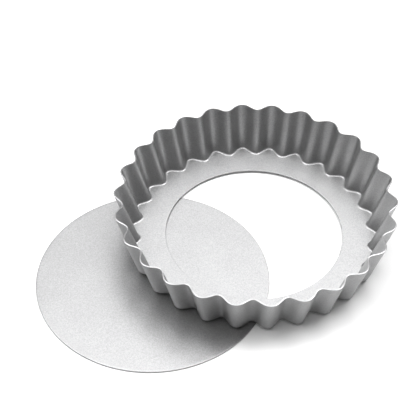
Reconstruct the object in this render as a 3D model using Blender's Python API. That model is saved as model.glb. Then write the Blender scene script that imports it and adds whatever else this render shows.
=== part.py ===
"""Fluted tart pan with a loose base, shown taken apart on a table.

The base is a plain disc lying flat. The ring is one pressed sheet: a fluted, flared wall and a flat
inward ledge round a large hole. It lies level across the base's edge. Assembled, the base drops into
the ring from above and rests on the ledge.

Metres, +Z up. The origin is the centre of the base's underside, and +X runs from the base's centre
to the ring's.
"""

import math

import bmesh
import bpy

# Sheet and ring
SHEET = 0.0006                    # thickness of both pieces
FLUTES = 26
FLUTE_TURN = math.radians(8.0)    # turn of the first flute from +X
LOBE_FULLNESS = 0.18              # 0 is a plain cosine, more makes the lobes broader than the valleys
RING_HEIGHT = 0.0217              # underside of the ledge to the rim
RIM_LOBE_RADIUS = 0.0600          # over the flutes, at the rim
RIM_FLUTE_DEPTH = 0.0036
FOOT_LOBE_RADIUS = 0.0539         # over the flutes, where the wall would meet the underside
FOOT_FLUTE_DEPTH = 0.0041
BEND_RADIUS = 0.0014              # outside of the bend between the wall and the ledge
WALL_LEAN = math.radians(16.2)    # from upright; the rim is cut square to the leaning wall
HOLE_RADIUS = 0.0382

# Base
BASE_RADIUS = 0.0488

# Layout
CENTRE_DISTANCE = 0.0502          # base's centre to ring's centre
REST_GAP = 0.0003                 # between the base's top and the ledge's underside

# Mesh fineness
SEGMENTS_PER_FLUTE = 10
BEND_STEPS = 3
BASE_SEGMENTS = 160
SHARP_ANGLE = math.radians(40)

# Coating
COATING_COLOUR = (0.34, 0.34, 0.345, 1.0)
COATING_METALLIC = 0.9
COATING_ROUGHNESS = 0.41


def clear_scene():
    """Remove whatever objects the file starts with."""
    for thing in list(bpy.data.objects):
        bpy.data.objects.remove(thing, do_unlink=True)


def coating(name):
    """A satin grey non-stick coating."""
    material = bpy.data.materials.new(name)
    material.use_nodes = True
    shader = material.node_tree.nodes["Principled BSDF"]
    shader.inputs["Base Color"].default_value = COATING_COLOUR
    shader.inputs["Metallic"].default_value = COATING_METALLIC
    shader.inputs["Roughness"].default_value = COATING_ROUGHNESS
    return material


def finish(name, mesh_builder, place, material):
    """Turn a bmesh into a named, smooth-shaded object at its place."""
    bmesh.ops.recalc_face_normals(mesh_builder, faces=mesh_builder.faces)
    mesh = bpy.data.meshes.new(name)
    mesh_builder.to_mesh(mesh)
    mesh_builder.free()
    mesh.shade_smooth()
    mesh.set_sharp_from_angle(angle=SHARP_ANGLE)
    mesh.materials.append(material)
    thing = bpy.data.objects.new(name, mesh)
    thing.location = place
    bpy.context.collection.objects.link(thing)
    return thing


def wall_size(height):
    """Radius over the lobes and depth of the flutes of the outer wall at a height."""
    share = height / RING_HEIGHT
    lobe_radius = FOOT_LOBE_RADIUS + (RIM_LOBE_RADIUS - FOOT_LOBE_RADIUS) * share
    depth = FOOT_FLUTE_DEPTH + (RIM_FLUTE_DEPTH - FOOT_FLUTE_DEPTH) * share
    return lobe_radius, depth


def wall_point(angle, height, inset):
    """A point of the wall, set in from its outer face along the fluted outline's normal."""
    lobe_radius, depth = wall_size(height)
    turn = FLUTES * (angle - FLUTE_TURN)
    wave = math.cos(turn) + LOBE_FULLNESS * math.sin(turn) ** 2
    wave_slope = FLUTES * math.sin(turn) * (2 * LOBE_FULLNESS * math.cos(turn) - 1)
    radius = lobe_radius - depth * (1 - wave) / 2
    radius_slope = depth * wave_slope / 2
    length = math.hypot(radius, radius_slope)
    outward = inset * radius / length
    sideways = inset * radius_slope / length
    along_radius = radius - outward
    x = along_radius * math.cos(angle) - sideways * math.sin(angle)
    y = along_radius * math.sin(angle) + sideways * math.cos(angle)
    return x, y, height


def hole_point(angle, height):
    """A point of the hole's edge."""
    return HOLE_RADIUS * math.cos(angle), HOLE_RADIUS * math.sin(angle), height


def bend_rows(radius):
    """Rows of the bend from the ledge up to the wall, as pairs of height and inset."""
    rows = []
    for step in range(BEND_STEPS + 1):
        swing = math.pi / 2 * step / BEND_STEPS
        height = BEND_RADIUS - radius * math.cos(swing)
        inset = BEND_RADIUS - radius * math.sin(swing)
        rows.append((height, inset))
    return rows


def add_row(mesh_builder, points):
    """Add the corners of one closed row of the section, all the way round."""
    return [mesh_builder.verts.new(point) for point in points]


def join_rows(mesh_builder, first, second):
    """Fill the band between two rows with four-sided faces."""
    for step in range(len(first)):
        corners = (first[step - 1], first[step], second[step], second[step - 1])
        mesh_builder.faces.new(corners)


def build_ring(material):
    """The pressed ring: underside, outer wall, rim, inner wall, ledge and the hole's edge."""
    count = FLUTES * SEGMENTS_PER_FLUTE
    angles = [2 * math.pi * step / count for step in range(count)]
    rim_drop = SHEET * math.tan(WALL_LEAN)
    outside = bend_rows(BEND_RADIUS) + [(RING_HEIGHT - rim_drop, 0.0)]
    inside = bend_rows(BEND_RADIUS - SHEET) + [(RING_HEIGHT, SHEET)]
    mesh_builder = bmesh.new()
    rows = [add_row(mesh_builder, [hole_point(angle, 0.0) for angle in angles])]
    for height, inset in outside + inside[::-1]:
        rows.append(add_row(mesh_builder, [wall_point(angle, height, inset) for angle in angles]))
    rows.append(add_row(mesh_builder, [hole_point(angle, SHEET) for angle in angles]))
    for first, second in zip(rows, rows[1:] + rows[:1]):
        join_rows(mesh_builder, first, second)
    place = (CENTRE_DISTANCE, 0.0, SHEET + REST_GAP)
    return finish("fluted_ring", mesh_builder, place, material)


def build_base(material):
    """The loose base: a plain flat disc."""
    mesh_builder = bmesh.new()
    bmesh.ops.create_cone(
        mesh_builder,
        cap_ends=True,
        segments=BASE_SEGMENTS,
        radius1=BASE_RADIUS,
        radius2=BASE_RADIUS,
        depth=SHEET,
    )
    bmesh.ops.translate(mesh_builder, verts=mesh_builder.verts, vec=(0.0, 0.0, SHEET / 2))
    return finish("loose_base", mesh_builder, (0.0, 0.0, 0.0), material)


def main():
    clear_scene()
    build_ring(coating("ring_coating"))
    build_base(coating("base_coating"))


main()
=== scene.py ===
"""Looks of the tart pan: finely meshed ring and base, their coating, the studio and the camera."""

import math

import bpy
import numpy as np
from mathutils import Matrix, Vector


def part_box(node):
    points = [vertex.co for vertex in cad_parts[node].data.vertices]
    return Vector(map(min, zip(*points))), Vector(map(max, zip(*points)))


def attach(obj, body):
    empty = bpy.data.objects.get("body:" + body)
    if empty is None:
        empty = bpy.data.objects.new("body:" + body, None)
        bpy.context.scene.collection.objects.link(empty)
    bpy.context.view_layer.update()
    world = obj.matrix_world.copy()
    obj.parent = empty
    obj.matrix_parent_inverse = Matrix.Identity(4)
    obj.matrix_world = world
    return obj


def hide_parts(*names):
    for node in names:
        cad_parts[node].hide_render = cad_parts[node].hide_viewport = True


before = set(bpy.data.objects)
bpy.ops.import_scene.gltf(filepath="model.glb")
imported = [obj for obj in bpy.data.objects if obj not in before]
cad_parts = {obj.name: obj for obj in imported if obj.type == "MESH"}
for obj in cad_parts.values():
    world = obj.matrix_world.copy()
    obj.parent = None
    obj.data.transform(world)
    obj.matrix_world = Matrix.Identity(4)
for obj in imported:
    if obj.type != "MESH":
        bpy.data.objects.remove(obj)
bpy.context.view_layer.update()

# Ring, as in the CAD part
FLUTES = 26
FLUTE_TURN = math.radians(8.0)
LOBE_FULLNESS = 0.18
RIM_LOBE_RADIUS = 0.0600
RIM_FLUTE_DEPTH = 0.0036
FOOT_LOBE_RADIUS = 0.0539
FOOT_FLUTE_DEPTH = 0.0041
BEND_RADIUS = 0.0014
HOLE_RADIUS = 0.0382
BASE_RADIUS = 0.0488

# Cut edges: the rim is cut square to the leaning wall, so its outer corner lies lower
WALL_LEAN = math.radians(16.2)
RING_EDGE_ROUNDING = 0.00010
BASE_EDGE_ROUNDING = 0.00022
EDGE_STEPS = 4

# Mesh fineness
SEGMENTS_PER_FLUTE = 28
BEND_STEPS = 8
WALL_STEPS = 8
LEDGE_STEPS = 4
CLOSE_SHARE = 0.02
BASE_SEGMENTS = 384
BASE_RINGS = 8
SHARP_ANGLE = math.radians(35)

# Coating: sizes and the grain's height in metres, the rest are plain shader values.
# The speckle is a mix of grain and flecks, and the tone a mix of speckle and cloud.
# Both lie within the noise range nearly everywhere, and are stretched from it.
COATING_LIGHT = (0.385, 0.385, 0.388, 1.0)
COATING_DARK = (0.245, 0.245, 0.247, 1.0)
COATING_METALLIC = 0.9
COATING_ROUGHNESS = (0.38, 0.48)
GRAIN_SIZE = 0.00045
GRAIN_DETAIL = 3.0
GRAIN_HARSHNESS = 0.6
GRAIN_HEIGHT = 0.000010
FLECK_SIZE = 0.00033
FLECK_SHARE = 0.4
CLOUD_SIZE = 0.018
CLOUD_DETAIL = 2.0
CLOUD_HARSHNESS = 0.5
CLOUD_SHARE = 0.2
NOISE_RANGE = (0.2, 0.8)
FULL_RANGE = (0.0, 1.0)

# Studio: each light is a round soft box facing the ring, with its angles in degrees.
# Azimuths run anticlockwise from the camera's side.
FLOOR_SIZE = 1.0
FLOOR_GAP = 0.0001
FLOOR_COLOUR = (0.82, 0.82, 0.82, 1.0)
FLOOR_ROUGHNESS = 0.9
FLOOR_SPECULAR = 0.1
HORIZON_BRIGHTNESS = 1.0
ROOM_BRIGHTNESS = 0.15
HORIZON_FADE = math.sin(math.radians(16))
LIGHTS = {
    "front": {"azimuth": 0, "height": 64, "distance": 1.1, "size": 0.62, "radiance": 2.0},
    "right_back": {"azimuth": 120, "height": 64, "distance": 1.1, "size": 0.62, "radiance": 11.0},
    "back": {"azimuth": 180, "height": 64, "distance": 1.1, "size": 0.62, "radiance": 2.1},
    "low_back": {"azimuth": 180, "height": 42, "distance": 1.1, "size": 0.62, "radiance": 2.25},
    "left_back": {"azimuth": 240, "height": 64, "distance": 1.1, "size": 0.62, "radiance": 6.7},
    "left_front": {"azimuth": 300, "height": 64, "distance": 1.1, "size": 0.62, "radiance": 4.1},
    "left": {"azimuth": 270, "height": 45, "distance": 1.0, "size": 0.7, "radiance": 1.0},
    "right": {"azimuth": 135, "height": 30, "distance": 0.9, "size": 0.75, "radiance": 0.3},
}

# Camera, from the ring's axis at table height
CAMERA_OFFSET = (-0.2077, -0.3016, 0.3889)
CAMERA_DIP = math.radians(45.2)
CAMERA_TURN = math.radians(-30.9)
CAMERA_LENS = 110.7
CAMERA_SENSOR = 36.0
CAMERA_NEAR = 0.01


def box_centre(box):
    """Middle of a box, given as its two corners."""
    low, high = box
    return (low + high) / 2


RING_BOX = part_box("fluted_ring")
BASE_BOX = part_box("loose_base")
RING_AXIS = box_centre(RING_BOX)
BASE_AXIS = box_centre(BASE_BOX)
RING_BOTTOM = RING_BOX[0].z
RING_HEIGHT = RING_BOX[1].z - RING_BOX[0].z
BASE_BOTTOM = BASE_BOX[0].z
SHEET = BASE_BOX[1].z - BASE_BOX[0].z


def fluted_row(angles, height, inset):
    """A row of the wall all the way round, set in from its outer face along the outline's normal."""
    share = height / RING_HEIGHT
    lobe_radius = FOOT_LOBE_RADIUS + (RIM_LOBE_RADIUS - FOOT_LOBE_RADIUS) * share
    depth = FOOT_FLUTE_DEPTH + (RIM_FLUTE_DEPTH - FOOT_FLUTE_DEPTH) * share
    turn = FLUTES * (angles - FLUTE_TURN)
    wave = np.cos(turn) + LOBE_FULLNESS * np.sin(turn) ** 2
    wave_slope = FLUTES * np.sin(turn) * (2 * LOBE_FULLNESS * np.cos(turn) - 1)
    radius = lobe_radius - depth * (1 - wave) / 2
    radius_slope = depth * wave_slope / 2
    length = np.hypot(radius, radius_slope)
    along_radius = radius - inset * radius / length
    sideways = inset * radius_slope / length
    x = along_radius * np.cos(angles) - sideways * np.sin(angles)
    y = along_radius * np.sin(angles) + sideways * np.cos(angles)
    return np.stack([x, y, np.full_like(angles, height)], axis=1)


def round_row(angles, radius, height):
    """A circular row."""
    x = radius * np.cos(angles)
    y = radius * np.sin(angles)
    return np.stack([x, y, np.full_like(angles, height)], axis=1)


def inner_shares(steps):
    """Shares of the way between two rows. The outermost lie close to them, which keeps flats flat."""
    return [CLOSE_SHARE] + [step / steps for step in range(1, steps)] + [1 - CLOSE_SHARE]


def blend_rows(first, second, steps):
    """Rows between two rows, without the two themselves."""
    return [first + (second - first) * share for share in inner_shares(steps)]


def arc(centre, radius, start, end, steps):
    """Points of an arc in the section, as pairs. Angles run from the first axis to the second."""
    first, second = centre
    swings = [start + (end - start) * step / steps for step in range(steps + 1)]
    return [(first + radius * math.cos(swing), second + radius * math.sin(swing)) for swing in swings]


def mesh_object(name, rows, closed, place, material):
    """An object from rows of points all the way round, each joined to the next."""
    count = len(rows[0])
    points = np.concatenate(rows)
    step = np.arange(count)
    following = (step + 1) % count
    faces = []
    bands = len(rows) if closed else len(rows) - 1
    for band in range(bands):
        low = band * count
        high = (band + 1) % len(rows) * count
        faces.append(np.stack([low + step, low + following, high + following, high + step], axis=1))
    faces = [tuple(face) for face in np.concatenate(faces).tolist()]
    if not closed:
        faces.append(tuple(step[::-1].tolist()))
        faces.append(tuple((step + bands * count).tolist()))
    mesh = bpy.data.meshes.new(name)
    mesh.from_pydata(points.tolist(), [], faces)
    mesh.update()
    mesh.shade_smooth()
    mesh.set_sharp_from_angle(angle=SHARP_ANGLE)
    mesh.materials.append(material)
    thing = bpy.data.objects.new(name, mesh)
    thing.location = place
    bpy.context.collection.objects.link(thing)
    return thing


def rounded(before, corner, after):
    """Points round a corner of the section, from a point before it to a point after it."""
    before, corner, after = np.array([before, corner, after])
    shares = np.linspace(0.0, 1.0, EDGE_STEPS + 1)
    return [tuple((1 - s) ** 2 * before + 2 * s * (1 - s) * corner + s**2 * after) for s in shares]


def straight(start, end, inset):
    """Points of the wall's section between two heights, without its ends."""
    return [(start + (end - start) * share, inset) for share in inner_shares(WALL_STEPS)]


def ring_section():
    """The wall's section from the ledge's underside round the rim to the ledge's top: height and inset.

    The bend runs between two swings: flat, where it meets the ledge, and upright, where it meets the wall.
    """
    flat = -math.pi
    upright = -math.pi / 2
    centre = (BEND_RADIUS, BEND_RADIUS)
    near = RING_EDGE_ROUNDING
    slope = math.tan(WALL_LEAN)
    inner_top = RING_HEIGHT
    outer_top = inner_top - SHEET * slope
    outer = arc(centre, BEND_RADIUS, flat, upright, BEND_STEPS)
    outer += straight(BEND_RADIUS, outer_top - near, 0.0)
    rim = rounded((outer_top - near, 0.0), (outer_top, 0.0), (outer_top + near * slope, near))
    rim += rounded((inner_top - near * slope, SHEET - near), (inner_top, SHEET), (inner_top - near, SHEET))
    inner = straight(inner_top - near, BEND_RADIUS, SHEET)
    inner += arc(centre, BEND_RADIUS - SHEET, upright, flat, BEND_STEPS)
    return outer + rim + inner


def cut_edge_rows(angles, radius, side, near):
    """Rows round a cut edge of flat sheet, from below. Side is 1 if the sheet lies outside, else -1."""
    inside = radius + side * near
    corners = rounded((inside, 0.0), (radius, 0.0), (radius, near))
    corners += rounded((radius, SHEET - near), (radius, SHEET), (inside, SHEET))
    return [round_row(angles, r, height) for r, height in corners]


def build_ring(material):
    """The fluted ring with rounded bends and cut edges."""
    count = FLUTES * SEGMENTS_PER_FLUTE
    angles = 2 * math.pi * np.arange(count) / count
    hole = cut_edge_rows(angles, HOLE_RADIUS, 1, RING_EDGE_ROUNDING)
    wall = [fluted_row(angles, height, inset) for height, inset in ring_section()]
    below = blend_rows(hole[0], wall[0], LEDGE_STEPS)
    above = blend_rows(wall[-1], hole[-1], LEDGE_STEPS)
    rows = below + wall + above + hole[::-1]
    place = (RING_AXIS.x, RING_AXIS.y, RING_BOTTOM)
    ring = mesh_object("ring_shell", rows, True, place, material)
    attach(ring, "ring")
    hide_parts("fluted_ring")


def build_base(material):
    """The loose base: a flat disc with a cut edge."""
    angles = 2 * math.pi * np.arange(BASE_SEGMENTS) / BASE_SEGMENTS
    edge = cut_edge_rows(angles, BASE_RADIUS, -1, BASE_EDGE_ROUNDING)
    flat_radius = BASE_RADIUS - BASE_EDGE_ROUNDING
    shares = [step / BASE_RINGS for step in range(1, BASE_RINGS)] + [1 - CLOSE_SHARE]
    below = [round_row(angles, flat_radius * share, 0.0) for share in shares]
    above = [round_row(angles, flat_radius * share, SHEET) for share in reversed(shares)]
    place = (BASE_AXIS.x, BASE_AXIS.y, BASE_BOTTOM)
    base = mesh_object("base_disc", below + edge + above, False, place, material)
    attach(base, "base")
    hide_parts("loose_base")


class Graph:
    """A material's nodes, made and linked in short calls. Textures lie in the object's own space."""

    def __init__(self, name):
        self.material = bpy.data.materials.new(name)
        self.material.use_nodes = True
        self.tree = self.material.node_tree
        self.shader = self.tree.nodes["Principled BSDF"]
        self.place = self.add("ShaderNodeTexCoord").outputs["Object"]

    def add(self, kind, **settings):
        """A new node with its settings."""
        node = self.tree.nodes.new(kind)
        for key, value in settings.items():
            setattr(node, key, value)
        return node

    def link(self, output, socket):
        """Link an output to an input."""
        self.tree.links.new(output, socket)

    def noise(self, size, detail, harshness):
        """Noise with features of that size in metres."""
        node = self.add("ShaderNodeTexNoise")
        self.link(self.place, node.inputs["Vector"])
        node.inputs["Scale"].default_value = 1 / size
        node.inputs["Detail"].default_value = detail
        node.inputs["Roughness"].default_value = harshness
        return node.outputs["Fac"]

    def cells(self, size):
        """A random value for each cell of that size in metres."""
        node = self.add("ShaderNodeTexVoronoi")
        self.link(self.place, node.inputs["Vector"])
        node.inputs["Scale"].default_value = 1 / size
        split = self.add("ShaderNodeSeparateColor")
        self.link(node.outputs["Color"], split.inputs["Color"])
        return split.outputs["Red"]

    def scaled(self, value, factor):
        """A value times a number."""
        node = self.add("ShaderNodeMath", operation="MULTIPLY")
        self.link(value, node.inputs[0])
        node.inputs[1].default_value = factor
        return node.outputs["Value"]

    def blended(self, first, second, share):
        """The sum of the first value's share and what is left of the second."""
        node = self.add("ShaderNodeMath", operation="ADD")
        self.link(self.scaled(first, share), node.inputs[0])
        self.link(self.scaled(second, 1 - share), node.inputs[1])
        return node.outputs["Value"]

    def ranged(self, value, source, target):
        """A value mapped from one range to another."""
        node = self.add("ShaderNodeMapRange")
        self.link(value, node.inputs["Value"])
        node.inputs["From Min"].default_value, node.inputs["From Max"].default_value = source
        node.inputs["To Min"].default_value, node.inputs["To Max"].default_value = target
        return node.outputs["Result"]

    def mix(self, factor, first, second):
        """A mix of two colours."""
        node = self.add("ShaderNodeMix", data_type="RGBA")
        self.link(factor, node.inputs["Factor"])
        node.inputs["A"].default_value = first
        node.inputs["B"].default_value = second
        return node.outputs["Result"]

    def bump(self, height, distance):
        """A full-strength bump from a height, into the shader's normal."""
        node = self.add("ShaderNodeBump")
        self.link(height, node.inputs["Height"])
        node.inputs["Distance"].default_value = distance
        node.inputs["Strength"].default_value = 1.0
        self.link(node.outputs["Normal"], self.shader.inputs["Normal"])


def coating():
    """Satin grey non-stick coating: a sandy grain, fine flecks and a faint cloudiness."""
    graph = Graph("coating")
    grain = graph.noise(GRAIN_SIZE, GRAIN_DETAIL, GRAIN_HARSHNESS)
    flecks = graph.cells(FLECK_SIZE)
    cloud = graph.noise(CLOUD_SIZE, CLOUD_DETAIL, CLOUD_HARSHNESS)
    speckle = graph.blended(flecks, grain, FLECK_SHARE)
    tone = graph.blended(cloud, speckle, CLOUD_SHARE)
    lightness = graph.ranged(tone, NOISE_RANGE, FULL_RANGE)
    colour = graph.mix(lightness, COATING_DARK, COATING_LIGHT)
    roughness = graph.ranged(speckle, NOISE_RANGE, COATING_ROUGHNESS)
    graph.link(colour, graph.shader.inputs["Base Color"])
    graph.link(roughness, graph.shader.inputs["Roughness"])
    graph.shader.inputs["Metallic"].default_value = COATING_METALLIC
    graph.bump(speckle, GRAIN_HEIGHT)
    return graph.material


def floor_finish():
    """Plain pale matt paper."""
    graph = Graph("paper")
    graph.shader.inputs["Base Color"].default_value = FLOOR_COLOUR
    graph.shader.inputs["Roughness"].default_value = FLOOR_ROUGHNESS
    graph.shader.inputs["Specular IOR Level"].default_value = FLOOR_SPECULAR
    return graph.material


def build_light(name, azimuth, height, distance, size, radiance):
    """A round soft box that faces the ring. Its power follows from its radiance."""
    camera_azimuth = math.atan2(CAMERA_OFFSET[1], CAMERA_OFFSET[0])
    around = camera_azimuth + math.radians(azimuth)
    up = math.radians(height)
    way = Vector((math.cos(around) * math.cos(up), math.sin(around) * math.cos(up), math.sin(up)))
    area = math.pi * size**2 / 4
    lamp = bpy.data.lights.new(name, "AREA")
    lamp.shape = "DISK"
    lamp.size = size
    lamp.energy = radiance * math.pi * area
    light = bpy.data.objects.new(name, lamp)
    light.location = Vector((RING_AXIS.x, RING_AXIS.y, RING_BOTTOM)) + distance * way
    light.rotation_euler = way.to_track_quat("Z", "Y").to_euler()
    bpy.context.collection.objects.link(light)


def build_room():
    """The surroundings: bright at and below the horizon, dim above."""
    world = bpy.data.worlds.new("room")
    world.use_nodes = True
    tree = world.node_tree
    place = tree.nodes.new("ShaderNodeTexCoord")
    split = tree.nodes.new("ShaderNodeSeparateXYZ")
    fade = tree.nodes.new("ShaderNodeMapRange")
    fade.interpolation_type = "SMOOTHSTEP"
    fade.inputs["From Min"].default_value = 0.0
    fade.inputs["From Max"].default_value = HORIZON_FADE
    fade.inputs["To Min"].default_value = HORIZON_BRIGHTNESS
    fade.inputs["To Max"].default_value = ROOM_BRIGHTNESS
    tree.links.new(place.outputs["Generated"], split.inputs["Vector"])
    tree.links.new(split.outputs["Z"], fade.inputs["Value"])
    tree.links.new(fade.outputs["Result"], tree.nodes["Background"].inputs["Color"])
    bpy.context.scene.world = world


def build_studio():
    """A pale floor under soft boxes, in a dim room."""
    place = (RING_AXIS.x, RING_AXIS.y, BASE_BOTTOM - FLOOR_GAP)
    bpy.ops.mesh.primitive_plane_add(size=FLOOR_SIZE, location=place)
    floor = bpy.context.object
    floor.name = "floor"
    floor.data.materials.append(floor_finish())
    for name, settings in LIGHTS.items():
        build_light(name, **settings)
    build_room()
    bpy.context.scene.view_settings.view_transform = "Standard"


def build_camera():
    """The camera at the viewing angle."""
    data = bpy.data.cameras.new("camera")
    data.lens = CAMERA_LENS
    data.sensor_width = CAMERA_SENSOR
    data.clip_start = CAMERA_NEAR
    camera = bpy.data.objects.new("camera", data)
    x, y, z = CAMERA_OFFSET
    camera.location = (RING_AXIS.x + x, RING_AXIS.y + y, BASE_BOTTOM + z)
    camera.rotation_euler = (math.pi / 2 - CAMERA_DIP, 0.0, CAMERA_TURN)
    bpy.context.collection.objects.link(camera)
    bpy.context.scene.camera = camera


finish = coating()
build_ring(finish)
build_base(finish)
build_studio()
build_camera()
